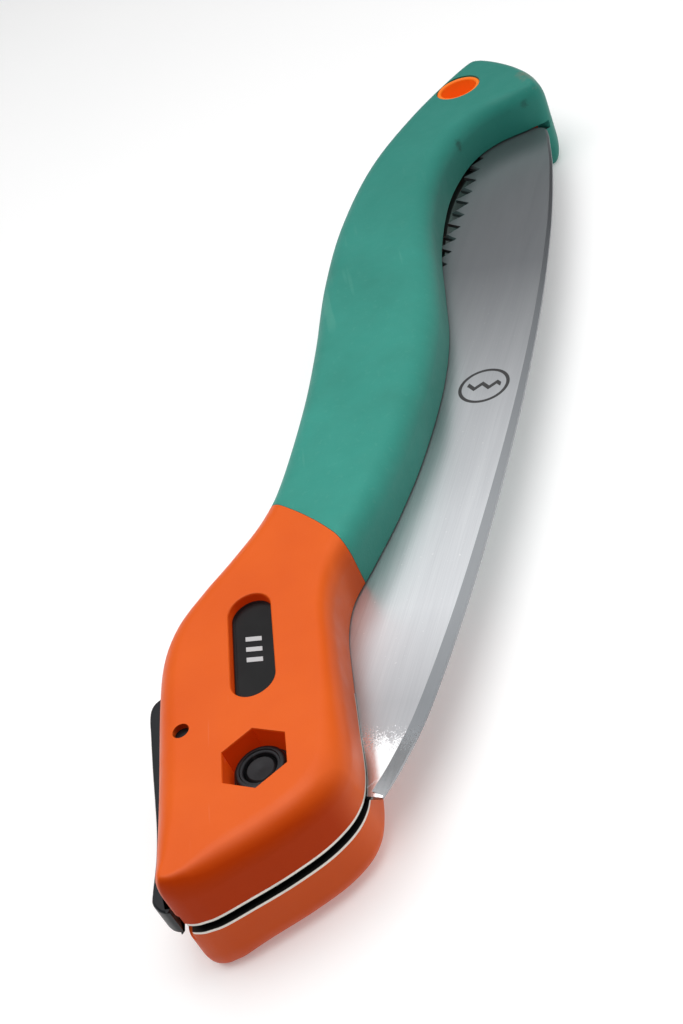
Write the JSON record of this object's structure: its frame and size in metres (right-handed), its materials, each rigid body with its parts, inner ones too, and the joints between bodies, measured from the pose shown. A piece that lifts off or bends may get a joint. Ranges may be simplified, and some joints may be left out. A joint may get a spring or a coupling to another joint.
{
  "type": "folding pruning saw",
  "caption": "Folding pruning saw with a curved split handle, a rubber grip, a steel blade that swings on a bolt, a lock lever and a hanging hole.",
  "frame": {"origin": "centre of the hanging hole, on the middle plane between the two handle halves", "axes": "+X from the pivot end towards the hanging hole, +Y towards the lock lever, +Z along the hanging hole; the saw lies on its side with the blade folded"},
  "size_m": [0.2488, 0.1112, 0.024],
  "materials": {
    "orange_shell": "satin moulded plastic",
    "green_grip": "soft matte rubber",
    "liner_steel": "stamped, brushed",
    "badge_black": "fine satin",
    "eyelet_orange": "satin moulded plastic",
    "dark_fastener": "blackened steel",
    "nut_insert": "dark nylon",
    "brass_bush": "turned",
    "thrust_washer": "rolled",
    "spring_steel": "rolled spring steel",
    "blade_steel": "satin brushed",
    "lever_black": "satin moulded plastic"
  },
  "bodies": {
    "handle": {"left_shell": "orange_shell", "right_shell": "orange_shell", "left_grip": "green_grip", "right_grip": "green_grip", "left_liner": "liner_steel", "right_liner": "liner_steel", "left_badge": "badge_black", "right_badge": "badge_black", "hang_eyelet": "eyelet_orange", "pivot_bolt": "dark_fastener", "bolt_washer": "dark_fastener", "nut_washer": "dark_fastener", "pivot_nut": "dark_fastener", "nut_insert": "nut_insert", "pivot_bush": "brass_bush", "left_washer": "thrust_washer", "right_washer": "thrust_washer", "lever_pin": "dark_fastener", "lever_spring": "spring_steel"},
    "blade": {"blade": "blade_steel"},
    "lever": {"lock_lever": "lever_black"}
  },
  "joints": [
    {"name": "blade_fold", "type": "hinge", "parent": "handle", "child": "blade", "pos_m": [-0.212, 0.068, 0], "axis": [0, 0, -1], "range_deg": [0, 141]},
    {"name": "lever_rock", "type": "hinge", "parent": "handle", "child": "lever", "pos_m": [-0.201, 0.08064, 0], "axis": [0, 0, -1], "range_deg": [-3.5, 3.5], "stiffness_Nm_per_rad": 0.25}
  ]
}
